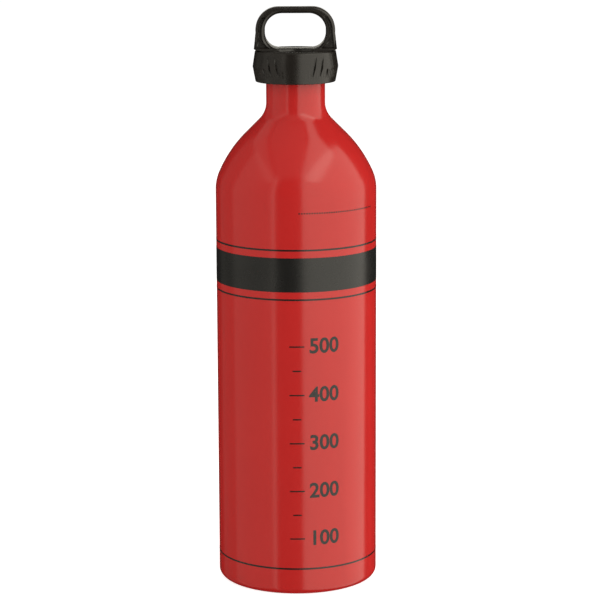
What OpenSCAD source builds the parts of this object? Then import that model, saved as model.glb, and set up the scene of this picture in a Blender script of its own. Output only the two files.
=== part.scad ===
// Camping fuel bottle with a push-and-turn screw cap and a carrying loop
// Millimetres, +Z up, origin on the ground at the centre of the resting ring, front towards -Y

/* [Bottle] */
// Outer diameter of the barrel
body_d = 76.2; // [70:0.1:90]
// Height of the straight barrel, from the ground to the start of the shoulder
barrel_h = 189.2; // [80:0.1:240]
// Wall thickness of the barrel and the shoulder
wall = 1; // [0.7:0.1:1.6]
// Thickness of the domed base
base_wall = 1.6; // [1:0.1:2.5]
// Outer radius of the heel
heel_r = 3.5; // [2:0.1:6]
// Width of the flat ring that the bottle stands on
foot_w = 2.4; // [1.5:0.1:5]
// Height of the dome pressed up into the base
dome_h = 7; // [4:0.1:12]
// Radius of the bend where the barrel turns into the shoulder
bend_r = 20.5; // [12:0.1:30]
// Angle that the bend turns through
bend_angle = 24; // [16:0.5:30]
// Radius of the long shoulder curve
shoulder_r = 61.5; // [50:0.5:75]
// Slope of the cone that carries the shoulder up to the neck
shoulder_angle = 45; // [40:0.5:48]
// Radius of the hollow curve from the shoulder to the neck
neck_fillet_r = 10.9; // [6:0.1:14]

/* [Neck] */
// Outer diameter of the neck
neck_d = 27.8; // [24:0.1:31]
// Length of the straight neck
neck_len = 14.7; // [13.5:0.1:20]
// Wall thickness of the neck, which carries the thread
neck_wall = 1.6; // [1.2:0.1:2.2]
// Bevel round the inside of the mouth
mouth_bevel = 0.5; // [0.2:0.1:0.9]

/* [Sealing ring] */
// Thickness of the ring's rubber before it is squeezed
cord_d = 2.4; // [1.8:0.1:2.8]
// How much the closed cap flattens the ring
squeeze = 0.3; // [0.1:0.05:0.6]

/* [Threaded plug] */
// Clearance between the shank and the bore of the neck
shank_gap = 0.3; // [0.15:0.05:0.5]
// Depth that the shank reaches into the neck
shank_len = 12.9; // [8:0.1:13]
// Wall thickness of the hollow shank
shank_wall = 2.5; // [1.6:0.1:3.2]
// Bevel round the tip of the shank
tip_bevel = 0.6; // [0.3:0.1:1.2]
// Height of the stepped-in land that the sealing ring sits on
land_h = 0.6; // [0.3:0.1:1.2]
// Clearance between the land and the sealing ring
land_gap = 0.2; // [0.1:0.05:0.4]
// How far the flange reaches past the outside of the neck
flange_over = 3.3; // [2.8:0.1:4.5]
// Thickness of the flange
flange_t = 2; // [1.5:0.1:3]
// Width of the slot that lets pressure out as the cap is unscrewed
relief_w = 2; // [1:0.1:3]
// Height of the pressure slot above the tip of the shank
relief_h = 8; // [4:0.1:10]

/* [Push-and-turn drive] */
// Number of drive lugs on the plug, and as many under the shell
lug_count = 8; // [4:1:10]
// Angle that each lug spans
lug_angle = 16; // [8:0.5:17]
// Height of a lug
lug_h = 1.2; // [0.8:0.1:1.3]
// Width of a lug, measured outwards
lug_w = 4; // [3:0.1:4.2]
// Distance of the lugs from the edge of the flange
lug_inset = 0.7; // [0.4:0.1:0.9]
// Height of a ratchet tooth
tooth_h = 0.8; // [0.4:0.1:1]
// Length of a ratchet tooth's ramp
tooth_len = 3; // [2:0.1:3.5]
// Angle between a spring leaf's centre and the tooth that it pushes
tooth_angle = 28.5; // [28:0.1:30]

/* [Spring] */
// Height of the spring, from the flange to the ceiling of the shell
spring_h = 3; // [2.8:0.1:3.6]
// Thickness of the spring strip
leaf_t = 0.5; // [0.3:0.05:0.6]
// Inner radius of the spring ring
spring_r = 8.2; // [8:0.1:8.4]
// Width of the spring ring
spring_w = 3.8; // [3.4:0.1:4]
// Width of one spring leaf
leaf_w = 2.6; // [1.8:0.1:2.7]
// Number of spring leaves
leaf_count = 4; // [2:1:4]
// Length of a leaf from its root to its foot
leaf_len = 7.6; // [6:0.1:7.8]
// Length of the flat foot at the end of a leaf
leaf_foot = 0.8; // [0.5:0.1:0.9]

/* [Cap shell] */
// Clearance between the flange and the inside of the skirt
shell_gap = 0.3; // [0.15:0.05:0.6]
// Thickness of the top wall
top_t = 2.6; // [2:0.1:4]
// How far the skirt hangs below the mouth of the neck
skirt_drop = 4.9; // [4:0.1:8]
// Thickness of the skirt at its lower edge
skirt_wall = 1.4; // [1.2:0.1:2.2]
// Thickness of the skirt at its widest line
waist_wall = 2.65; // [2.3:0.05:3.2]
// Height of the widest line above the lower edge
waist_h = 7.2; // [5:0.1:9]
// Thickness of the skirt at its rim
rim_wall = 1.6; // [1.3:0.1:2.2]
// Bevel round the rim
rim_bevel = 0.7; // [0.4:0.1:1]
// Height of the low ring that stands on the top inside the rim
top_ring_h = 0.3; // [0.2:0.05:0.5]
// Width of the low ring
top_ring_w = 0.8; // [0.6:0.1:1.2]
// Bevel round the lower edge of the skirt
hem_bevel = 0.5; // [0.2:0.1:0.6]
// How far the bead inside the skirt reaches under the flange
bead_bite = 0.6; // [0.4:0.05:0.9]
// Height of the bead
bead_h = 1.2; // [0.8:0.1:1.6]
// Clearance between the boss under the top wall and the spring ring
boss_gap = 0.4; // [0.2:0.1:0.8]

/* [Grip grooves] */
// Depth of the grooves at the widest line
groove_depth = 1; // [0.5:0.05:1.1]
// Width of a groove
groove_w = 0.9; // [0.5:0.1:1.4]
// Length of the two long grooves of each group
groove_len = 10.4; // [6:0.1:11]
// Length of the short groove of each group
groove_short = 3.6; // [2:0.1:5]
// Lean of the long grooves
groove_lean = 13; // [5:0.5:20]
// Angle from the front to the first groove of each group
groove_first = 26.7; // [20:0.1:30]
// Angle between the two long grooves
groove_step = 11.8; // [8:0.1:14]
// Angle from the second long groove to the short one
short_step = 9.7; // [7:0.1:11]
// Height of the middle of the long grooves above the lower edge
groove_up = 8.5; // [7:0.1:9]
// Height of the middle of the short groove above the lower edge
short_up = 5; // [4:0.1:7]

/* [Loop] */
// Height of the loop above the top of the cap
loop_h = 20.6; // [19.5:0.1:30]
// Width of the loop across its legs, where the corners start
loop_w = 37.3; // [36:0.1:38]
// Width of the loop at its feet
loop_foot_w = 39.1; // [38:0.1:39.2]
// Outer radius of the loop's top corners
loop_corner_r = 10.7; // [6:0.1:12]
// Thickness of the bar at the top of the loop
bar_t = 3.2; // [2.5:0.1:4]
// Thickness of the legs at their narrowest
leg_t = 4.35; // [4:0.05:5]
// Radius of the opening's upper corners
opening_r = 8; // [5:0.1:8.2]
// Radius of the opening's lower corners
opening_low_r = 7; // [5:0.1:8]
// Height of the low saddle between the feet
saddle_h = 1; // [0.4:0.05:1.2]
// Depth of the saddle, front to back, at its middle
saddle_d = 11; // [9:0.1:13]
// Depth of the bar, front to back
bar_d = 8; // [7:0.1:9]
// Depth of the feet, front to back
foot_d = 17; // [14:0.1:18]
// How far the feet stand out past the rim
foot_over = 0.5; // [0.2:0.1:0.8]
// Height of the notch under the feet
notch_h = 0.4; // [0.3:0.1:0.8]
// Depth of the notch under the feet
notch_d = 0.9; // [0.75:0.05:1.2]
// Depth of the flutes down the front and the back of the legs
flute_depth = 1.2; // [0.5:0.1:1.6]
// Width of the ridge along the outside of a leg
ridge_w = 1; // [0.7:0.1:1.3]
// Width of the lip round the opening
lip_w = 1.4; // [1:0.1:1.7]
// Distance from the top of the loop down to the upper ends of the flutes
flute_drop = 4.2; // [3.8:0.1:7]
// Height of the lower ends of the flutes above the top of the cap
flute_up = 1; // [0.8:0.1:3]

/* [Hidden] */
$fn = 96;
// Overlap that joins the pieces of one solid
weld = 0.4;

// Shoulder: end points of its bend, its long curve, its cone and its hollow curve
body_r = body_d / 2;
neck_r = neck_d / 2;
bend_c = [body_r - bend_r, barrel_h];
bend_end = bend_c + bend_r * [cos(bend_angle), sin(bend_angle)];
shoulder_c = bend_end - shoulder_r * [cos(bend_angle), sin(bend_angle)];
shoulder_end = shoulder_c + shoulder_r * [cos(shoulder_angle), sin(shoulder_angle)];
fillet_drop = neck_fillet_r * (1 - cos(shoulder_angle));
cone_len = (shoulder_end[0] - neck_r - fillet_drop) / sin(shoulder_angle);
cone_end = shoulder_end + cone_len * [-sin(shoulder_angle), cos(shoulder_angle)];
neck_z = cone_end[1] + neck_fillet_r * sin(shoulder_angle);
fillet_c = [neck_r + neck_fillet_r, neck_z];

// Base: radius of the dome that meets the inner edge of the resting ring
dome_rim_r = body_r - heel_r - foot_w;
dome_r = (pow(dome_rim_r, 2) + pow(dome_h, 2)) / (2 * dome_h);

// Neck, sealing ring and plug
mouth_z = neck_z + neck_len;
bore_r = neck_r - neck_wall;
seal_r = (bore_r + neck_r) / 2;
flange_z = mouth_z + cord_d - squeeze;
flange_top = flange_z + flange_t;
flange_r = neck_r + flange_over;
shank_r = bore_r - shank_gap;
hollow_r = shank_r - shank_wall;
land_r = min(shank_r, seal_r - cord_d / 2 - land_gap);
tip_z = mouth_z - shank_len;
lug_r = flange_r - lug_inset - lug_w;

// Shell
ceiling_z = flange_top + spring_h;
top_z = ceiling_z + top_t;
skirt_z = mouth_z - skirt_drop;
inside_r = flange_r + shell_gap;
skirt_r = inside_r + skirt_wall;
waist_r = inside_r + waist_wall;
rim_r = inside_r + rim_wall;
bead_r = flange_r - bead_bite;
boss_r = spring_r - boss_gap;

// Loop
loop_z = top_z + loop_h;
corner_x = loop_w / 2 - loop_corner_r;
corner_z = loop_z - loop_corner_r;
opening_side = loop_w / 2 - leg_t;
opening_top = loop_z - bar_t - opening_r;
opening_base = top_z + saddle_h + opening_low_r;
flare_angle = atan((loop_foot_w - loop_w) / 2 / (corner_z - top_z));
flare_depth = (foot_d - bar_d) / 2;
flare_r = (pow(loop_h, 2) + pow(flare_depth, 2)) / (2 * flare_depth);
saddle_cut_r = 12;

// Slice of a disc between two directions
module slice(r, a0, a1) {
    intersection() {
        circle(r);
        polygon([[0, 0], 2 * r * [cos(a0), sin(a0)], 2 * r * [cos(a1), sin(a1)]]);
    }
}

// Half section of the bottle's outside or, with an inset and a floor, of the space inside it
module vessel_section(inset, floor_z, end_z) {
    heel = heel_r - inset;
    heel_c = [body_r - heel_r, floor_z + heel];
    out = [cos(shoulder_angle), sin(shoulder_angle)];
    difference() {
        union() {
            polygon([
                [0, floor_z],
                [heel_c[0], floor_z],
                [body_r - inset, heel_c[1]],
                [body_r - inset, barrel_h],
                bend_c + (bend_r - inset) * [cos(bend_angle), sin(bend_angle)],
                shoulder_end - inset * out,
                cone_end - inset * out,
                [neck_r - inset, neck_z],
                [neck_r - inset, end_z],
                [0, end_z]
            ]);
            translate(heel_c) slice(heel, -90, 0);
            translate(bend_c) slice(bend_r - inset, 0, bend_angle);
            intersection() {
                translate(shoulder_c) slice(shoulder_r - inset, bend_angle, shoulder_angle);
                square([body_r, mouth_z]);
            }
        }
        translate(fillet_c) circle(neck_fillet_r + inset);
        translate([0, dome_h - dome_r]) circle(dome_r + floor_z);
    }
}

// Solids of one revolve, standing on a plane in a circle, centred on their angles
module ring_of_blocks(count, start, angle, r, w, z, h) {
    for (i = [0:count - 1])
        rotate([0, 0, start + i * 360 / count - angle / 2])
            rotate_extrude(angle = angle)
                translate([r, z]) square([w, h]);
}

// Aluminium bottle in one piece, with its neck bored for the thread
module bottle() {
    color("firebrick") rotate_extrude() difference() {
        vessel_section(0, 0, mouth_z);
        vessel_section(wall, base_wall, neck_z);
        translate([0, neck_z - weld]) square([bore_r, neck_len + 2 * weld]);
        polygon([
            [bore_r - weld, mouth_z - mouth_bevel - weld],
            [bore_r + mouth_bevel + weld, mouth_z + weld],
            [bore_r - weld, mouth_z + weld]
        ]);
    }
}

// Rubber ring, flattened between the mouth and the flange
module o_ring() {
    color("dimgray") rotate_extrude() intersection() {
        translate([seal_r, (mouth_z + flange_z) / 2]) circle(d = cord_d);
        translate([0, mouth_z]) square([seal_r + cord_d, flange_z - mouth_z]);
    }
}

// Hollow core that screws into the neck, with drive lugs and ratchet teeth on its flange
module thread_plug() {
    color("black") difference() {
        union() {
            rotate_extrude() polygon([
                [hollow_r, tip_z],
                [shank_r - tip_bevel, tip_z],
                [shank_r, tip_z + tip_bevel],
                [shank_r, mouth_z - land_h],
                [land_r, mouth_z - land_h],
                [land_r, flange_z],
                [flange_r, flange_z],
                [flange_r, flange_top],
                [0, flange_top],
                [0, flange_z],
                [hollow_r, flange_z]
            ]);
            ring_of_blocks(lug_count, 0, lug_angle, lug_r, lug_w, flange_top - weld, lug_h + weld);
            ratchet_teeth();
        }
        translate([-relief_w / 2, 0, tip_z - weld]) cube([relief_w, shank_r + weld, relief_h + weld]);
    }
}

// Ramps that let a spring leaf slip over them one way and catch it the other way
module ratchet_teeth() {
    leaf_x = spring_r + (spring_w - leaf_w) / 2;
    for (i = [0:2 * leaf_count - 1])
        rotate([0, 0, tooth_angle + i * 180 / leaf_count])
            translate([leaf_x, 0, flange_top])
                rotate([90, 0, 90])
                    linear_extrude(height = leaf_w)
                        polygon([[0, -weld], [tooth_len, -weld], [tooth_len, 0], [0, tooth_h]]);
}

// Steel ring with sprung leaves that hold the shell up and push the ratchet teeth
module spring() {
    leaf_x = spring_r + (spring_w - leaf_w) / 2;
    root = -(leaf_len + leaf_foot) / 2;
    color("silver") union() {
        rotate_extrude() translate([spring_r, ceiling_z - leaf_t]) square([spring_w, leaf_t]);
        for (i = [0:leaf_count - 1])
            rotate([0, 0, i * 360 / leaf_count])
                translate([leaf_x, root, flange_top])
                    rotate([90, 0, 90])
                        linear_extrude(height = leaf_w)
                            polygon([
                                [0, spring_h],
                                [0, spring_h - leaf_t],
                                [leaf_len, 0],
                                [leaf_len + leaf_foot, 0],
                                [leaf_len + leaf_foot, leaf_t],
                                [leaf_len, leaf_t]
                            ]);
    }
}

// Half section of the shell: skirt with its widest line, rim, ringed top wall and snap bead
module shell_section() {
    polygon([
        [inside_r + hem_bevel / 2, skirt_z],
        [skirt_r - hem_bevel, skirt_z],
        [skirt_r, skirt_z + hem_bevel],
        [waist_r, skirt_z + waist_h],
        [rim_r, top_z - rim_bevel],
        [rim_r - rim_bevel, top_z],
        [rim_r - notch_d, top_z + top_ring_h],
        [rim_r - notch_d - top_ring_w, top_z + top_ring_h],
        [rim_r - notch_d - top_ring_w, top_z],
        [0, top_z],
        [0, ceiling_z],
        [inside_r, ceiling_z],
        [inside_r, flange_z],
        [bead_r, flange_z],
        [bead_r, flange_z - bead_h],
        [inside_r, flange_z - bead_h - (inside_r - bead_r)],
        [inside_r, skirt_z + hem_bevel / 2]
    ]);
}

// One groove, cut into the skirt to a floor of one radius
module groove(turn, up, len, lean) {
    rotate([0, 0, turn])
        translate([0, groove_depth - waist_r, skirt_z + up])
            rotate([0, lean, 0])
                translate([-groove_w / 2, -2 * groove_depth, -len / 2])
                    cube([groove_w, 2 * groove_depth, len]);
}

// One group of grip grooves, fanned out from the front: two long ones that lean and a short one
module grip_grooves() {
    second = groove_first + groove_step;
    groove(groove_first, groove_up, groove_len, groove_lean);
    groove(second, groove_up, groove_len, groove_lean);
    groove(second + short_step, short_up, groove_short, 0);
}

// Front outline of the loop, drawn in by an inset, from the top bar down into the top wall
module loop_outline(inset) {
    r = loop_corner_r - inset;
    side = [cos(flare_angle), sin(flare_angle)];
    foot_x = loop_foot_w / 2 - inset;
    for (s = [-1, 1])
        translate([s * corner_x, corner_z]) circle(r);
    polygon([
        [-corner_x, corner_z + r],
        [corner_x, corner_z + r],
        [corner_x + r * side[0], corner_z + r * side[1]],
        [foot_x, top_z],
        [foot_x, ceiling_z + weld],
        [-foot_x, ceiling_z + weld],
        [-foot_x, top_z],
        [-corner_x - r * side[0], corner_z + r * side[1]]
    ]);
}

// Opening of the loop, widened by a margin, with its upper and its lower corners
module opening_outline(margin) {
    side = opening_side + margin;
    opening_end(opening_top, opening_r + margin, 1);
    opening_end(opening_base, opening_low_r + margin, -1);
    translate([-side, opening_base]) square([2 * side, opening_top - opening_base]);
}

// One end of the opening, up or down from the height of its corners' centres
module opening_end(z, r, way) {
    x = opening_side - (way > 0 ? opening_r : opening_low_r);
    for (s = [-1, 1])
        translate([s * x, z]) circle(r);
    translate([-x, way > 0 ? z : z - r]) square([2 * x, r]);
}

// Side outline of the loop, a bar that flares towards its feet, drawn in by an inset
module loop_side(inset) {
    difference() {
        translate([-foot_d / 2, ceiling_z + weld]) square([foot_d, loop_z - ceiling_z]);
        for (s = [-1, 1])
            translate([s * (bar_d / 2 + flare_r), loop_z]) circle(flare_r + inset, $fn = 4 * $fn);
    }
}

// Outline of the loop's side, drawn in by an inset and drawn out across the whole cap
module loop_depth(inset) {
    rotate([90, 0, 90])
        linear_extrude(height = 2 * (rim_r + foot_over), center = true)
            loop_side(inset);
}

// Carrying loop: its front and side outlines crossed, fluted legs, and feet cut round to the rim
module loop() {
    foot_r = rim_r + foot_over;
    deep = foot_d + 2;
    difference() {
        intersection() {
            rotate([90, 0, 0]) linear_extrude(height = deep, center = true) difference() {
                loop_outline(0);
                opening_outline(0);
            }
            loop_depth(0);
            translate([0, 0, ceiling_z]) cylinder(r = foot_r, h = loop_z);
        }
        difference() {
            rotate([90, 0, 0]) linear_extrude(height = deep, center = true) flute_outline();
            loop_depth(flute_depth);
        }
        for (s = [-1, 1])
            translate([0, s * (saddle_d / 2 + saddle_cut_r), top_z])
                cylinder(r = saddle_cut_r, h = opening_r);
        rotate_extrude() translate([rim_r - notch_d, ceiling_z])
            square([2 * foot_r, top_t + notch_h]);
    }
}

// Flute down the face of each leg, between its outer ridge and the lip of the opening
module flute_outline() {
    difference() {
        loop_outline(ridge_w);
        opening_outline(lip_w);
        translate([-loop_w, loop_z - flute_drop]) square([2 * loop_w, flute_drop]);
        translate([-loop_w, ceiling_z]) square([2 * loop_w, top_t + flute_up]);
    }
}

// Outer shell that is pushed down and turned, with its drive lugs and the loop
module cap_shell() {
    color("#2b2826") union() {
        difference() {
            rotate_extrude() shell_section();
            for (back = [0, 180], side = [0, 1])
                rotate([0, 0, back]) mirror([side, 0, 0]) grip_grooves();
        }
        ring_of_blocks(lug_count, 180 / lug_count, lug_angle, lug_r, lug_w,
            ceiling_z - lug_h, lug_h + weld);
        translate([0, 0, ceiling_z - lug_h]) cylinder(r = boss_r, h = lug_h + weld);
        loop();
    }
}

bottle();
o_ring();
thread_plug();
spring();
cap_shell();
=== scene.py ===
import math

import bmesh
import bpy
from mathutils import Euler, Matrix, Vector


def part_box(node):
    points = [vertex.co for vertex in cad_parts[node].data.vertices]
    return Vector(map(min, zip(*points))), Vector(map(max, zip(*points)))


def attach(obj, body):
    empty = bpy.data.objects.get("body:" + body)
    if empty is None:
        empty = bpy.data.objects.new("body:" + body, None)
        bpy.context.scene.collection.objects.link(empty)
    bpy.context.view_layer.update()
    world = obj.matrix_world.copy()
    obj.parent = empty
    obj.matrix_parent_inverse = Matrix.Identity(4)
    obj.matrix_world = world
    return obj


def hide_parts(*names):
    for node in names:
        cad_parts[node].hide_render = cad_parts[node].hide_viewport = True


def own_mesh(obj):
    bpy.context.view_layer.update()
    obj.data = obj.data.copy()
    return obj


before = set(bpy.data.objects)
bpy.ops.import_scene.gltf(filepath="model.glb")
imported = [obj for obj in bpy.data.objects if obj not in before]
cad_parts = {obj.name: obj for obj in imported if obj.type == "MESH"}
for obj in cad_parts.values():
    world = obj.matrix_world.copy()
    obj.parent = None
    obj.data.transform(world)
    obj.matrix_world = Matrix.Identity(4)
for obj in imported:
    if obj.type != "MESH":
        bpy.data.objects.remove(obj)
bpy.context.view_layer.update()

scene = bpy.context.scene
scene.view_settings.view_transform = "Standard"


# Bottle. One cup of aluminium, pressed out of a slug and drawn in at the shoulder and the neck.
# It is sprayed red outside, up to the lip of the mouth, and left bare inside.
# Its base is pushed up into a dome, so that it stands on a narrow ring.

body_r = 0.0381
barrel_top = 0.1892
wall = 0.001
base_wall = 0.0016
heel_r = 0.0035
foot_w = 0.0024
dome_h = 0.007
foot_round = 0.0015
bend_r = 0.0205
bend_angle = 24
shoulder_r = 0.0615
shoulder_angle = 45
neck_fillet_r = 0.0109
neck_r = 0.0139
bore_r = 0.0123
mouth_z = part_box("bottle")[1].z
neck_z = mouth_z - 0.0147
lip_round = 0.0004


def arc(centre, radius, start, end, steps):
    """Points of a round stretch of a profile, between two angles in degrees."""
    angles = [math.radians(start + (end - start) * i / steps) for i in range(steps + 1)]
    return [(centre[0] + radius * math.cos(a), centre[1] + radius * math.sin(a)) for a in angles]


def turn(bm, profile, steps, material=0):
    """Bends a grid once round Z along a profile of (radius, height) points."""
    grid = bmesh.ops.create_grid(bm, x_segments=steps, y_segments=len(profile) - 1, size=1)
    for vert in grid["verts"]:
        angle = math.pi * (vert.co.x + 1)
        radius, height = profile[round((vert.co.y + 1) / 2 * (len(profile) - 1))]
        vert.co = (radius * math.cos(angle), radius * math.sin(angle), height)
    for face in {face for vert in grid["verts"] for face in vert.link_faces}:
        face.material_index = material


def finish_piece(bm, name, materials, body, crease=35):
    """Makes an object of a mesh, smooth but for its creases, that rides on a body."""
    bmesh.ops.remove_doubles(bm, verts=bm.verts[:], dist=1e-6)
    bmesh.ops.recalc_face_normals(bm, faces=bm.faces[:])
    for face in bm.faces:
        face.smooth = True
    for edge in bm.edges:
        edge.smooth = edge.calc_face_angle(0) < math.radians(crease)
    mesh = bpy.data.meshes.new(name)
    bm.to_mesh(mesh)
    bm.free()
    for material in materials:
        mesh.materials.append(material)
    piece = bpy.data.objects.new(name, mesh)
    scene.collection.objects.link(piece)
    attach(piece, body)
    return piece


def node_input(tree, node, socket, value):
    """Sets a node's input to a value, or links it to another node's output."""
    if isinstance(value, bpy.types.NodeSocket):
        tree.links.new(value, node.inputs[socket])
    else:
        node.inputs[socket].default_value = value


def add_node(tree, kind, inputs=None, **settings):
    """A new node of a tree, with its settings and its inputs."""
    node = tree.nodes.new(kind)
    for name, value in settings.items():
        setattr(node, name, value)
    for socket, value in (inputs or {}).items():
        node_input(tree, node, socket, value)
    return node


def make_surface_group():
    """Group that gives each finish its uneven tone, its smudges and its fine relief."""
    group = bpy.data.node_groups.new("surface_detail", "ShaderNodeTree")
    for name in ("Tone Scale", "Smudge Scale", "Relief Scale", "Stretch"):
        group.interface.new_socket(name, in_out="INPUT", socket_type="NodeSocketFloat")
    for name in ("Tone", "Smudge", "Relief"):
        group.interface.new_socket(name, in_out="OUTPUT", socket_type="NodeSocketFloat")
    entry = add_node(group, "NodeGroupInput")
    leave = add_node(group, "NodeGroupOutput")
    place = add_node(group, "ShaderNodeTexCoord")
    squeeze = add_node(group, "ShaderNodeCombineXYZ", {0: 1.0, 1: 1.0, 2: entry.outputs["Stretch"]})
    along = add_node(group, "ShaderNodeVectorMath",
                     {0: place.outputs["Object"], 1: squeeze.outputs[0]}, operation="MULTIPLY")
    for name, detail in (("Tone", 3.0), ("Smudge", 5.0), ("Relief", 2.0)):
        noise = add_node(group, "ShaderNodeTexNoise", {
            "Vector": along.outputs[0], "Scale": entry.outputs[name + " Scale"], "Detail": detail})
        spread = add_node(group, "ShaderNodeMapRange", {
            "Value": noise.outputs["Fac"], "From Min": 0.3, "From Max": 0.7})
        group.links.new(spread.outputs[0], leave.inputs[name])
    return group


surface_group = make_surface_group()


def make_finish(name, colours, roughness, relief, scales, metallic=0.0, specular=0.5, stretch=1.0):
    """Material with two close colours, a range of roughness and a relief in metres."""
    material = bpy.data.materials.new(name)
    material.use_nodes = True
    tree = material.node_tree
    shader = tree.nodes["Principled BSDF"]
    shader.inputs["Metallic"].default_value = metallic
    shader.inputs["Specular IOR Level"].default_value = specular
    detail = add_node(tree, "ShaderNodeGroup", node_tree=surface_group)
    for socket, value in zip(("Tone Scale", "Smudge Scale", "Relief Scale", "Stretch"), (*scales, stretch)):
        detail.inputs[socket].default_value = value
    tone = add_node(tree, "ShaderNodeMix", {
        0: detail.outputs["Tone"], 6: (*colours[0], 1), 7: (*colours[1], 1)}, data_type="RGBA")
    gloss = add_node(tree, "ShaderNodeMapRange", {
        "Value": detail.outputs["Smudge"], "To Min": roughness[0], "To Max": roughness[1]})
    bump = add_node(tree, "ShaderNodeBump", {
        "Height": detail.outputs["Relief"], "Strength": 1.0, "Distance": relief})
    tree.links.new(tone.outputs[2], shader.inputs["Base Color"])
    tree.links.new(gloss.outputs[0], shader.inputs["Roughness"])
    tree.links.new(bump.outputs[0], shader.inputs["Normal"])
    return material


red_coat = make_finish("red_coat", ((0.42, 0.0145, 0.0138), (0.44, 0.0165, 0.0155)), (0.16, 0.19),
                       0.000002, (25, 40, 700))
bare_aluminium = make_finish("bare_aluminium", ((0.62, 0.62, 0.63), (0.7, 0.7, 0.71)), (0.3, 0.42),
                             0.000006, (60, 90, 900), metallic=1.0, stretch=0.15)

bend_c = Vector((body_r - bend_r, barrel_top))
bend_way = Vector((math.cos(math.radians(bend_angle)), math.sin(math.radians(bend_angle))))
shoulder_c = bend_c + (bend_r - shoulder_r) * bend_way
fillet_c = Vector((neck_r + neck_fillet_r, neck_z))


def vessel_profile(inset, floor):
    """Half section of the barrel and the shoulder, from the axis to the foot of the neck."""
    heel = heel_r - inset
    heel_c = (body_r - heel_r, floor + heel)
    rim_in = Vector((heel_c[0] - foot_w - foot_round * 0.415, floor + foot_round * 0.09))
    rise = dome_h - foot_round * 0.09
    dome_r = (rim_in.x ** 2 + rise ** 2) / (2 * rise)
    rim_turn = math.degrees(math.asin(rim_in.x / dome_r))
    dome = arc((0, floor + dome_h - dome_r), dome_r, 90, 90 - rim_turn, 24)
    foot = arc((heel_c[0] - foot_w, floor + foot_round), foot_round, -90 - rim_turn, -90, 5)
    return (dome + foot[1:] + arc(heel_c, heel, -90, 0, 12)
            + arc(bend_c, bend_r - inset, 0, bend_angle, 14)
            + arc(shoulder_c, shoulder_r - inset, bend_angle, shoulder_angle, 20)[1:]
            + arc(fillet_c, neck_fillet_r + inset, 180 + shoulder_angle, 180, 16))


bottle = bmesh.new()
lip_outside = arc((neck_r - lip_round, mouth_z - lip_round), lip_round, 0, 90, 4)
turn(bottle, vessel_profile(0, 0) + lip_outside[:1], 256)
turn(bottle, lip_outside + [(bore_r + 0.0005, mouth_z), (bore_r, mouth_z - 0.0005),
                            (bore_r, neck_z - 0.0002)]
     + vessel_profile(wall, base_wall)[::-1], 256, material=1)
bottle = finish_piece(bottle, "coated_bottle", [red_coat, bare_aluminium], "bottle")
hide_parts("bottle")


# Print. Black ink, screen-printed straight on the coat: bands round the barrel, a fill line
# of dashes to the right of the front, and a plain graduated scale down the front.

ink_low = 0.00001
ink_high = 0.00005
bands = ((0.146, 0.162), (0.142, 0.1428), (0.1652, 0.166), (0.0126, 0.0134))
fill_z = 0.1825
fill_start = 1.6
fill_end = 66.6
dash_count = 36
line_h = 0.0006
scale_steps = 10
scale_step = 50
scale_zero = 0.0046
scale_rise = 0.0002313
tick_angles = (10.5, 6)
digit_h = 0.0072
digit_bold = 0.00022
digit_gap = 0.0022

black_ink = make_finish("black_ink", ((0.0075, 0.0072, 0.007), (0.011, 0.0105, 0.01)), (0.24, 0.3),
                        0.000003, (60, 80, 1800))


def block(bm, radius, width, z, height, middle, angle):
    """Solid that spans an angle round Z, with a square section."""
    ring = [bm.verts.new((r, 0, h)) for r, h in (
        (radius, z), (radius + width, z), (radius + width, z + height), (radius, z + height))]
    bmesh.ops.rotate(bm, verts=ring, cent=(0, 0, 0),
                     matrix=Matrix.Rotation(math.radians(middle - angle / 2), 3, "Z"))
    face = bm.faces.new(ring)
    bmesh.ops.spin(bm, geom=[face], cent=(0, 0, 0), axis=(0, 0, 1), angle=math.radians(angle), steps=8)


def number(bm, text, z):
    """A number as thin solid ink, bent round the barrel to the right of its tick."""
    curve = bpy.data.curves.new("number", "FONT")
    curve.body = text
    curve.size = digit_h / 0.73
    curve.offset = digit_bold
    curve.align_y = "CENTER"
    curve.extrude = 0.0001
    flat = bpy.data.objects.new("number", curve)
    mesh = bpy.data.meshes.new_from_object(flat)
    ink = bmesh.new()
    ink.from_mesh(mesh)
    bpy.data.objects.remove(flat)
    bpy.data.meshes.remove(mesh)
    right = max(vert.co.x for vert in ink.verts)
    for i in range(1, int(right / 0.0008)):
        bmesh.ops.bisect_plane(ink, geom=ink.verts[:] + ink.edges[:] + ink.faces[:],
                               plane_co=(i * 0.0008, 0, 0), plane_no=(1, 0, 0))
    start = math.radians(tick_angles[0] / 2) + digit_gap / body_r
    for vert in ink.verts:
        angle = start + vert.co.x / body_r
        radius = body_r + (ink_high if vert.co.z > 0 else ink_low)
        vert.co = (radius * math.sin(angle), -radius * math.cos(angle), z + vert.co.y)
    bent = bpy.data.meshes.new("number")
    ink.to_mesh(bent)
    ink.free()
    bm.from_mesh(bent)
    bpy.data.meshes.remove(bent)


ink = bmesh.new()
for low, high in bands:
    turn(ink, [(body_r + ink_low, low), (body_r + ink_high, low), (body_r + ink_high, high),
               (body_r + ink_low, high), (body_r + ink_low, low)], 256)
for i in range(dash_count):
    pitch = (fill_end - fill_start) / dash_count
    block(ink, body_r + ink_low, ink_high - ink_low, fill_z, line_h,
          fill_start + (i + 0.3) * pitch - 90, 0.6 * pitch)
for i in range(2, scale_steps + 1):
    z = scale_zero + i * scale_step * scale_rise
    block(ink, body_r + ink_low, ink_high - ink_low, z - line_h / 2, line_h, -90, tick_angles[i % 2])
    if i % 2 == 0:
        number(ink, str(i * scale_step), z)
finish_piece(ink, "print", [black_ink], "bottle")


# Mouth thread. A right-hand thread rolled into the wall of the neck, bare like the inside.

thread_pitch = 0.003175
thread_steps = 96


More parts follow.
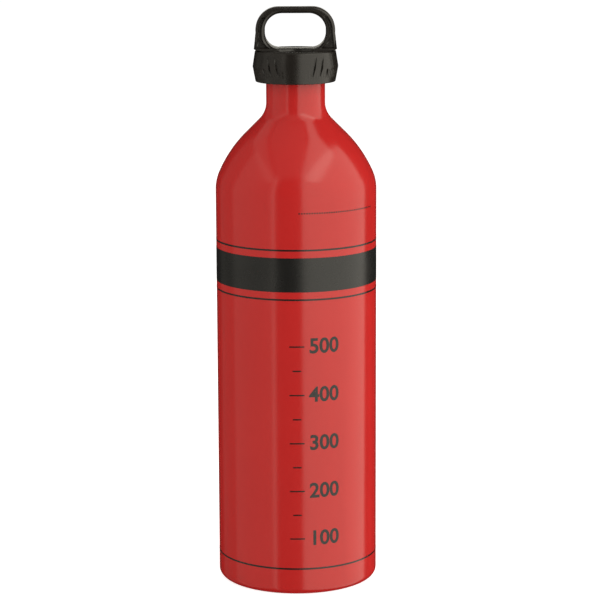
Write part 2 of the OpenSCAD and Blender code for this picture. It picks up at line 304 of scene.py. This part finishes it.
def thread(bm, root_r, crest_r, low, turns, root_w, crest_w):
    """Ridge wound round Z as a right-hand helix, with run-outs at both ends."""
    section = [(root_r, -root_w / 2), (crest_r, -crest_w / 2), (crest_r, crest_w / 2), (root_r, root_w / 2)]
    ring = [bm.verts.new((r, 0, low + z)) for r, z in section]
    edges = [bm.edges.new((ring[i], ring[i - 1])) for i in range(4)]
    bm.faces.new(ring)
    steps = round(turns * thread_steps)
    made = bmesh.ops.spin(bm, geom=ring + edges, cent=(0, 0, 0), axis=(0, 0, 1),
                          angle=2 * math.pi * steps / thread_steps, steps=steps,
                          dvec=(0, 0, thread_pitch / thread_steps))
    bmesh.ops.contextual_create(
        bm, geom=[item for item in made["geom_last"] if isinstance(item, bmesh.types.BMEdge)])
    for vert in {vert for face in bm.faces for vert in face.verts}:
        turn_share = math.atan2(vert.co.y, vert.co.x) / (2 * math.pi) % 1
        whole = round((vert.co.z - low) / thread_pitch - turn_share)
        done = whole + turn_share
        height = min(1, max(0, min(done, turns - done)) / 0.3)
        radius = math.hypot(vert.co.x, vert.co.y)
        if abs(radius - crest_r) < 1e-6:
            new_radius = root_r + (crest_r - root_r) * height
            vert.co.x *= new_radius / radius
            vert.co.y *= new_radius / radius


mouth_thread = bmesh.new()
thread(mouth_thread, bore_r + 0.0001, 0.01165, neck_z + 0.0024, 3.3, 0.0016, 0.0004)
mouth_thread = finish_piece(mouth_thread, "mouth_thread", [bare_aluminium], "bottle")


# Sealing ring. A nitrile ring of round section on the plug, flattened a little by the mouth.

seal_rubber = make_finish("seal_rubber", ((0.012, 0.012, 0.012), (0.02, 0.02, 0.019)), (0.5, 0.62),
                          0.00001, (150, 200, 2500), specular=0.4)
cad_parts["o_ring"].material_slots[0].material = seal_rubber


# Screw plug. A hollow core of grey nylon, moulded with its thread, a flange and a slot in the wall.
# The slot lets pressure out before the seal is clear. Lugs and ratchet teeth stand on the flange.

tip_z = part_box("thread_plug")[0].z
shank_r = 0.012
core_r = 0.0113
hollow_r = 0.0095
land_r = 0.0117
flange_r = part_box("thread_plug")[1].x
flange_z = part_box("o_ring")[1].z
flange_top = flange_z + 0.002
lug_count = 8
lug_angle = 16
lug_h = 0.0012
lug_w = 0.004
lug_r = flange_r - 0.0007 - lug_w
tooth_x = 0.0088
tooth_w = 0.0026
tooth_len = 0.003
tooth_h = 0.0008
tooth_angle = 28.5
slot_w = 0.002
slot_h = 0.008

plug_nylon = make_finish("plug_nylon", ((0.03, 0.03, 0.032), (0.04, 0.04, 0.042)), (0.4, 0.52),
                         0.000008, (120, 200, 1800))


def cut_slot(bm):
    """Cuts the pressure slot out of a closed mesh and gives back the result."""
    cutter = bmesh.new()
    bmesh.ops.create_cube(cutter, size=1, matrix=Matrix.LocRotScale(
        Vector((0, shank_r, tip_z)), None, Vector((slot_w, shank_r, 2 * slot_h))))
    parts = []
    for part, name in ((bm, "kept"), (cutter, "cutter")):
        bmesh.ops.recalc_face_normals(part, faces=part.faces[:])
        mesh = bpy.data.meshes.new(name)
        part.to_mesh(mesh)
        part.free()
        parts.append(bpy.data.objects.new(name, mesh))
        scene.collection.objects.link(parts[-1])
    boolean = parts[0].modifiers.new("cut", "BOOLEAN")
    boolean.operation = "DIFFERENCE"
    boolean.solver = "EXACT"
    boolean.object = parts[1]
    seen = parts[0].evaluated_get(bpy.context.evaluated_depsgraph_get())
    result = bmesh.new()
    result.from_mesh(seen.to_mesh())
    for part in parts:
        bpy.data.objects.remove(part)
    return result


plug = bmesh.new()
turn(plug, [(hollow_r, tip_z), (core_r - 0.0004, tip_z), (core_r, tip_z + 0.0006),
            (core_r, mouth_z - 0.0016), (land_r, mouth_z - 0.001), (land_r, flange_z),
            (flange_r - 0.0003, flange_z), (flange_r, flange_z + 0.0003),
            (flange_r, flange_top - 0.0003), (flange_r - 0.0003, flange_top),
            (0, flange_top)], 192)
turn(plug, [(0, flange_z), (hollow_r, flange_z), (hollow_r, tip_z)], 192)
bmesh.ops.remove_doubles(plug, verts=plug.verts[:], dist=1e-6)
plug = cut_slot(plug)
plug_thread = bmesh.new()
thread(plug_thread, core_r - 0.0001, shank_r, tip_z + 0.0016 + thread_pitch / 2, 2.6, 0.0017, 0.0005)
plug_thread = cut_slot(plug_thread)
for i in range(lug_count):
    block(plug, lug_r, lug_w, flange_top - 0.0002, lug_h + 0.0002, i * 360 / lug_count, lug_angle)
for i in range(lug_count):
    tooth = bmesh.ops.create_cube(plug, size=1, matrix=Matrix.LocRotScale(
        Vector((tooth_x + tooth_w / 2, tooth_len / 2, flange_top)), None,
        Vector((tooth_w, tooth_len, 2 * tooth_h))))["verts"]
    for vert in tooth:
        if vert.co.y > tooth_len / 2 and vert.co.z > flange_top:
            vert.co.z = flange_top
    bmesh.ops.rotate(plug, verts=tooth, cent=(0, 0, 0),
                     matrix=Matrix.Rotation(math.radians(tooth_angle + i * 45), 3, "Z"))
plug = finish_piece(plug, "screw_plug", [plug_nylon], "plug")
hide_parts("thread_plug")
plug_thread = finish_piece(plug_thread, "plug_thread", [plug_nylon], "plug")


# Spring. One stamped ring of stainless strip with bent leaves, left bright.
# On the real cap its leaves flatten towards the flange as the shell is pushed down on them; here the mesh is copied
# and keeps the shape it has in model.glb.

spring_steel = make_finish("spring_steel", ((0.5, 0.5, 0.5), (0.6, 0.59, 0.57)), (0.22, 0.34),
                           0.000003, (300, 400, 3000), metallic=1.0)
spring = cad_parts["spring"]
spring.material_slots[0].material = spring_steel
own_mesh(spring)


# Cap shell. Black nylon with a fine spark-eroded grain, moulded in one piece with its loop.
# The skirt widens to a line and draws in below it, where fine ribs give grip.
# Leaning grooves fan out from the front and the back. Lugs inside catch those of the plug.

cap_low, cap_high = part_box("cap_shell")
skirt_z = cap_low.z
top_z = cap_high.z - 0.0206
loop_top = cap_high.z - 0.0003
ceiling_z = top_z - 0.0026
inside_r = 0.0175
hem_r = inside_r + 0.0014
waist_r = inside_r + 0.00265
waist_z = skirt_z + 0.0072
rim_r = inside_r + 0.0016
rim_round = 0.0007
hem_round = 0.0005
bead_r = 0.0166
bead_h = 0.0012
boss_r = 0.0078
ring_r = rim_r - 0.0009
ring_w = 0.0008
ring_h = 0.0003
ring_round = 0.00008
groove_floor_r = waist_r - 0.001
groove_w = 0.0009
groove_soft = 0.0003
grooves = ((26.7, 0.0085, 0.0104, 13), (38.5, 0.0085, 0.0104, 13), (48.2, 0.005, 0.0036, 0))
seam_angles = (56, 60.5)
seam_depth = 0.0002
seam_w = 0.0004
rib_count = 88
rib_depth = 0.0001
rib_start = 13

black_nylon = make_finish("black_nylon", ((0.0085, 0.0068, 0.0056), (0.0115, 0.0094, 0.0079)), (0.24, 0.29),
                          0.000008, (90, 160, 2200))


def line(a, b, steps):
    """Points of a straight stretch of a profile."""
    return [(a[0] + (b[0] - a[0]) * i / steps, a[1] + (b[1] - a[1]) * i / steps) for i in range(steps + 1)]


def ease(value):
    """Soft step from 0 to 1."""
    value = min(1, max(0, value))
    return value * value * (3 - 2 * value)


def cut_grip(vert):
    """Draws a point of the skirt's outside in, where a groove, a seam or a rib's hollow runs."""
    radius = math.hypot(vert.co.x, vert.co.y)
    side = abs(math.degrees(math.atan2(vert.co.x, -vert.co.y)))
    side = min(side, 180 - side)
    drawn = radius
    for turn_to, up, length, lean in grooves:
        lean = math.radians(lean)
        out = radius * math.radians(side - turn_to)
        rise = vert.co.z - skirt_z - up
        across = abs(out * math.cos(lean) - rise * math.sin(lean))
        along = abs(out * math.sin(lean) + rise * math.cos(lean))
        share = (ease((groove_w / 2 - across) / groove_soft + 0.5)
                 * ease((length / 2 - along) / groove_soft + 0.5))
        drawn = min(drawn, radius + share * (min(groove_floor_r, radius) - radius))
    for seam in seam_angles:
        across = abs(radius * math.radians(side - seam))
        share = ease((seam_w / 2 - across) / groove_soft + 0.5) * ease((vert.co.z - waist_z) / groove_soft)
        drawn = min(drawn, radius - seam_depth * share * ease((top_z - 0.0012 - vert.co.z) / groove_soft))
    rib = 0.5 + 0.5 * math.cos(math.radians(side) * rib_count)
    ribbed = ease((vert.co.z - skirt_z - 0.0022) / 0.0008) * ease((skirt_z + 0.0067 - vert.co.z) / 0.0006)
    drawn = min(drawn, radius - rib_depth * rib * ribbed * ease((side - rib_start) / 5))
    vert.co.x *= drawn / radius
    vert.co.y *= drawn / radius


skirt = bmesh.new()
hem_c = (hem_r - hem_round, skirt_z + hem_round)
outside = (arc(hem_c, hem_round, -90, 0, 4) + line((hem_r, skirt_z + hem_round), (waist_r, waist_z), 34)[1:]
           + line((waist_r, waist_z), (rim_r, top_z - rim_round), 30)[1:]
           + arc((rim_r - rim_round, top_z - rim_round), rim_round, 0, 90, 5)[1:])
turn(skirt, outside, 720)
for vert in skirt.verts:
    cut_grip(vert)
turn(skirt, [outside[-1], (ring_r + ring_round, top_z + ring_h - ring_round), (ring_r - ring_round, top_z + ring_h),
             (ring_r - ring_w + ring_round, top_z + ring_h), (ring_r - ring_w, top_z + ring_h - ring_round),
             (ring_r - ring_w, top_z + ring_round), (ring_r - ring_w - ring_round, top_z), (0, top_z)], 720)
turn(skirt, [outside[0], (inside_r + 0.0003, skirt_z), (inside_r, skirt_z + 0.0003),
             (inside_r, flange_z - bead_h - 0.0009), (bead_r + 0.0002, flange_z - bead_h - 0.0001),
             (bead_r, flange_z - bead_h), (bead_r, flange_z - 0.0002), (bead_r + 0.0002, flange_z),
             (inside_r, flange_z), (inside_r, ceiling_z), (boss_r, ceiling_z),
             (boss_r, ceiling_z - lug_h), (0, ceiling_z - lug_h)], 720)
for i in range(lug_count):
    block(skirt, lug_r, lug_w, ceiling_z - lug_h, lug_h + 0.0002, (i + 0.5) * 360 / lug_count, lug_angle)
skirt = finish_piece(skirt, "cap_skirt", [black_nylon], "shell")
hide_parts("cap_shell")

corner_r = 0.0107
corner = Vector((0.00795, loop_top - corner_r))
foot_x = 0.01955
opening_r = 0.008
opening_x = 0.0063
opening_top = loop_top - 0.0029 - opening_r
low_r = 0.007
low_x = 0.0073
opening_base = top_z + 0.001 + low_r
bar_d = 0.008
flare_r = 0.0494
saddle_d = 0.011
saddle_r = 0.012
foot_r = rim_r + 0.0005
notch_z = top_z + 0.0004
notch_r = rim_r - 0.0009
leg_turn = 5.194
flute_depth = 0.0012
lip_w = 0.0014
leg_lip = 0.0009
saddle_lip = 0.0001
ridge_w = 0.0012
edge_round = 0.0012
foot_sink = 0.0005
foot_fillet = 0.0011
saddle_fillet = 0.0003
across_steps = 150


def along_line(path, share):
    """Point at a share of a path, whose stretches share it evenly."""
    place = min(share, 0.999999) * (len(path) - 1)
    whole = int(place)
    return path[whole].lerp(path[whole + 1], place - whole)


def on_arc(centre, radius, start, end, share):
    angle = math.radians(start + (end - start) * share)
    return Vector(centre) + radius * Vector((math.cos(angle), math.sin(angle)))


def loop_station(share):
    """Points of the opening's edge and of the loop's outside that face each other, in the front view."""
    leg_top = on_arc(corner, corner_r, 90, -leg_turn, 1)
    foot = Vector((foot_x, notch_z))
    leg_mid = leg_top.lerp(foot, 0.18)
    inner_top = Vector((opening_x, opening_top + opening_r))
    side_top = Vector((opening_x + opening_r, opening_top))
    side_low = Vector((low_x + low_r, opening_base))
    low = Vector((low_x, opening_base - low_r))
    sunk_z = top_z - foot_sink
    if share < 0.14:
        t = share / 0.14
        return inner_top * Vector((t, 1)), Vector((corner.x * t, loop_top))
    if share < 0.44:
        t = (share - 0.14) / 0.3
        return (on_arc((opening_x, opening_top), opening_r, 90, 0, t),
                on_arc(corner, corner_r, 90, -leg_turn, t))
    if share < 0.49:
        t = (share - 0.44) / 0.05
        return side_top.lerp(side_low, t), leg_top.lerp(leg_mid, t)
    if share < 0.88:
        t = (share - 0.49) / 0.39
        inner = on_arc((low_x, opening_base), low_r, 0, -90, t)
        if t < 0.55:
            return inner, leg_mid.lerp(foot, t / 0.55)
        return inner, along_line([foot, Vector((notch_r, notch_z)), Vector((notch_r, sunk_z)),
                                  Vector((0.013, sunk_z)), Vector((low_x, sunk_z))], (t - 0.55) / 0.45)
    t = (share - 0.88) / 0.12
    return low.lerp(Vector((0, low.y)), t), Vector((low_x * (1 - t), sunk_z))


def half_depth(x, z):
    """Half of the loop's depth, front to back, at a place of its front view."""
    flare = bar_d / 2 + flare_r - math.sqrt(flare_r ** 2 - (loop_top - max(z, top_z)) ** 2)
    saddle = saddle_d / 2 + saddle_r - math.sqrt(max(saddle_r ** 2 - x ** 2, 0))
    soft = 0.0006
    depth = -soft * math.log(math.exp(-flare / soft) + math.exp(-saddle / soft))
    fillet = saddle_fillet + (foot_fillet - saddle_fillet) * ease((x - 0.006) / 0.004)
    low = min(fillet, max(0, fillet - (z - top_z)))
    return depth + fillet - math.sqrt(fillet ** 2 - low ** 2)


def section_shape(length, lip_drop):
    """Outline of half a section: distance from the opening's edge, drop from the face, share of the flute."""
    lip = min(lip_w, 0.45 * length)
    ridge = length - min(ridge_w, 0.3 * length)
    wall_w = min(0.0004, (ridge - lip) / 4)
    flute = [(lip + (ridge - lip) * i / 12, 0, ease((ridge - lip) * min(i, 12 - i) / 12 / wall_w))
             for i in range(1, 12)]
    around = [(length - edge_round * (1 - math.sin(math.radians(a))),
               edge_round * (1 - math.cos(math.radians(a))), 0) for a in (0, 22, 45, 68, 90)]
    return ([(0, lip_drop + 0.0003, 0), (0.00006, lip_drop, 0), (0.5 * lip, 0.42 * lip_drop, 0),
             (0.85 * lip, 0.08 * lip_drop, 0), (lip, 0, 0)] + flute + [(ridge, 0, 0)] + around)


def loop_section(share):
    """Points of one closed section of the loop, from the opening's edge round and back to it."""
    inner, outer = loop_station(share)
    length = (outer - inner).length
    front = []
    for s, drop, flute in section_shape(length, leg_lip + (saddle_lip - leg_lip) * ease((share - 0.75) / 0.13)):
        x, z = inner.lerp(outer, s / length)
        depth = half_depth(x, z)
        fluted = ease((loop_top - 0.0042 - z) / 0.0015) * ease((z - top_z - 0.001) / 0.001)
        y = depth - drop - flute * fluted * flute_depth
        front.append(Vector((x, -y, z)))
    front = [Vector((inner.x, 0, inner.y))] + front + [Vector((outer.x, 0, outer.y))]
    back = [Vector((p.x, -p.y, p.z)) for p in front[-2::-1]]
    for point in front + back:
        limit = foot_r if point.z > notch_z - 1e-6 else notch_r
        if point.z < notch_z + 1e-6 or math.hypot(point.x, point.y) > foot_r:
            point.x = min(point.x, math.sqrt(max(limit ** 2 - point.y ** 2, 0)))
    return front + back


loop = bmesh.new()
sections = [loop_section(i / across_steps) for i in range(across_steps + 1)]
round_steps = len(sections[0]) - 1
bmesh.ops.create_grid(loop, x_segments=across_steps, y_segments=round_steps, size=1)
for vert in loop.verts:
    station = round((vert.co.x + 1) / 2 * across_steps)
    vert.co = sections[station][round((vert.co.y + 1) / 2 * round_steps)]
bmesh.ops.mirror(loop, geom=loop.verts[:] + loop.edges[:] + loop.faces[:], merge_dist=1e-7, axis="X")
loop = finish_piece(loop, "carrying_loop", [black_nylon], "shell", crease=50)


# Studio. A pale floor, a large soft panel at the right, a weaker one at the left, and a thin strip.
# A tent of dark cloth keeps the rest of what the gloss mirrors quiet, with a white card at the back.

camera_place = Vector((0, -1.127, 0.3524))
camera_down = 10.91
camera_side = 0.084
camera_roll = 0.25
sensor = 0.036
focal_px = 2398
frame_px = 600


def make_camera():
    data = bpy.data.cameras.new("camera")
    data.sensor_width = sensor * 1000
    data.lens = focal_px / frame_px * sensor * 1000
    camera = bpy.data.objects.new("camera", data)
    look = Euler((math.radians(90 - camera_down), 0, math.radians(-camera_side))).to_matrix()
    camera.matrix_world = (look @ Euler((0, 0, math.radians(-camera_roll))).to_matrix()).to_4x4()
    camera.location = camera_place
    scene.collection.objects.link(camera)
    scene.camera = camera


make_camera()


def make_light(name, a, b, c, radiance, in_gloss=True):
    """Rectangular warm light with corners a, b and c in turn, which faces the bottle."""
    a, b, c = Vector(a), Vector(b), Vector(c)
    along, up = b - a, c - b
    centre = (a + c) / 2
    facing = along.cross(up).normalized()
    if facing.dot(centre) < 0:
        along.negate()
        facing.negate()
    data = bpy.data.lights.new(name, "AREA")
    data.shape = "RECTANGLE"
    data.size = along.length
    data.size_y = up.length
    data.energy = radiance * math.pi * data.size * data.size_y
    data.color = (1.0, 0.96, 0.84)
    light = bpy.data.objects.new(name, data)
    turned = Matrix((along.normalized(), up.normalized(), facing)).transposed()
    light.matrix_world = Matrix.Translation(centre) @ turned.to_4x4()
    light.visible_camera = False
    light.visible_glossy = in_gloss
    scene.collection.objects.link(light)


panel_foot = -1.2
panel_top = 1.3

make_light("right_panel", (0.21, -1.48, panel_foot), (1.13, 0.5, panel_foot), (1.13, 0.5, panel_top), 1.5)
make_light("right_ceiling", (0.18, -1.25, panel_top), (0.36, 0.12, panel_top), (1.1, 0.02, panel_top), 1.5)
make_light("left_panel", (-0.77, -1.29, panel_foot), (-1.1, 0.2, panel_foot), (-1.1, 0.2, panel_top), 0.42)
make_light("left_end", (-1.1, 0.2, panel_foot), (-1.2, 1.28, panel_foot), (-1.2, 1.28, panel_top), 0.12)
make_light("left_ceiling", (-0.76, -1.3, panel_top), (-0.7, 0.9, panel_top), (-1.15, 0.91, panel_top), 0.42)
make_light("middle_ceiling", (-0.7, -1.2, panel_top), (-0.62, 1.6, panel_top), (0.3, 1.6, panel_top), 0.3)
make_light("strip", (-0.74, -1.07, panel_foot), (-0.64, -1.13, panel_foot), (-0.64, -1.13, panel_top), 0.9)
make_light("left_bounce", (-1.2, -0.7, panel_foot), (-0.9, 1.0, panel_foot), (-0.9, 1.0, panel_top), 0.75, False)
make_light("right_bounce", (1.1, -0.6, panel_foot), (0.9, 1.0, panel_foot), (0.9, 1.0, panel_top), 0.3, False)
make_light("back_card", (-0.42, 2.2, 0.22), (0.42, 2.2, 0.22), (0.42, 2.2, 0.58), 1.0)


def stage_material(name, colour, strength, seen_by_camera):
    """Plain diffuse material with an even glow, which shows in the picture and in the gloss only."""
    material = bpy.data.materials.new(name)
    material.use_nodes = True
    tree = material.node_tree
    tree.nodes.clear()
    out = add_node(tree, "ShaderNodeOutputMaterial")
    matt = add_node(tree, "ShaderNodeBsdfDiffuse", {"Color": (*colour, 1)})
    glow = add_node(tree, "ShaderNodeEmission", {"Color": (1, 1, 1, 1), "Strength": strength})
    if seen_by_camera:
        ray = add_node(tree, "ShaderNodeLightPath")
        either = add_node(tree, "ShaderNodeMath", {
            0: ray.outputs["Is Camera Ray"], 1: ray.outputs["Is Glossy Ray"]}, operation="MAXIMUM")
        seen = add_node(tree, "ShaderNodeMath", {
            0: either.outputs[0], 1: ray.outputs["Is Transmission Ray"]}, operation="MAXIMUM")
        shown = add_node(tree, "ShaderNodeMath", {
            0: seen.outputs[0], 1: strength}, operation="MULTIPLY")
        tree.links.new(shown.outputs[0], glow.inputs["Strength"])
    both = add_node(tree, "ShaderNodeAddShader", {0: matt.outputs[0], 1: glow.outputs[0]})
    tree.links.new(both.outputs[0], out.inputs["Surface"])
    return material


def make_floor():
    bm = bmesh.new()
    bmesh.ops.create_circle(bm, cap_ends=True, segments=96, radius=12)
    mesh = bpy.data.meshes.new("floor")
    bm.to_mesh(mesh)
    bm.free()
    mesh.materials.append(stage_material("pale_floor", (0.8, 0.8, 0.8), 0.75, True))
    floor = bpy.data.objects.new("floor", mesh)
    floor.visible_glossy = False
    floor.visible_shadow = False
    scene.collection.objects.link(floor)


def make_tent():
    """Closed tent of dark cloth round the set, which only the gloss sees."""
    bm = bmesh.new()
    bmesh.ops.create_cone(bm, cap_ends=True, segments=60, radius1=2.4, radius2=2.4, depth=8)
    bmesh.ops.reverse_faces(bm, faces=bm.faces[:])
    mesh = bpy.data.meshes.new("tent")
    bm.to_mesh(mesh)
    bm.free()
    mesh.materials.append(stage_material("dark_cloth", (0, 0, 0), 0.015, False))
    tent = bpy.data.objects.new("tent", mesh)
    tent.visible_camera = False
    tent.visible_diffuse = False
    tent.visible_transmission = False
    tent.visible_shadow = False
    scene.collection.objects.link(tent)


def make_world(fill, shown):
    """Even fill light that the camera and the gloss see as a white background."""
    world = bpy.data.worlds.new("studio")
    world.use_nodes = True
    scene.world = world
    tree = world.node_tree
    tree.nodes.clear()
    ray = add_node(tree, "ShaderNodeLightPath")
    either = add_node(tree, "ShaderNodeMath", {
        0: ray.outputs["Is Camera Ray"], 1: ray.outputs["Is Glossy Ray"]}, operation="MAXIMUM")
    seen = add_node(tree, "ShaderNodeMath", {
        0: either.outputs[0], 1: ray.outputs["Is Transmission Ray"]}, operation="MAXIMUM")
    level = add_node(tree, "ShaderNodeMapRange", {
        "Value": seen.outputs[0], "To Min": fill, "To Max": shown})
    back = add_node(tree, "ShaderNodeBackground", {"Color": (1, 1, 1, 1), "Strength": level.outputs[0]})
    out = add_node(tree, "ShaderNodeOutputWorld")
    tree.links.new(back.outputs[0], out.inputs["Surface"])


make_floor()
make_tent()
make_world(0.35, 1.0)
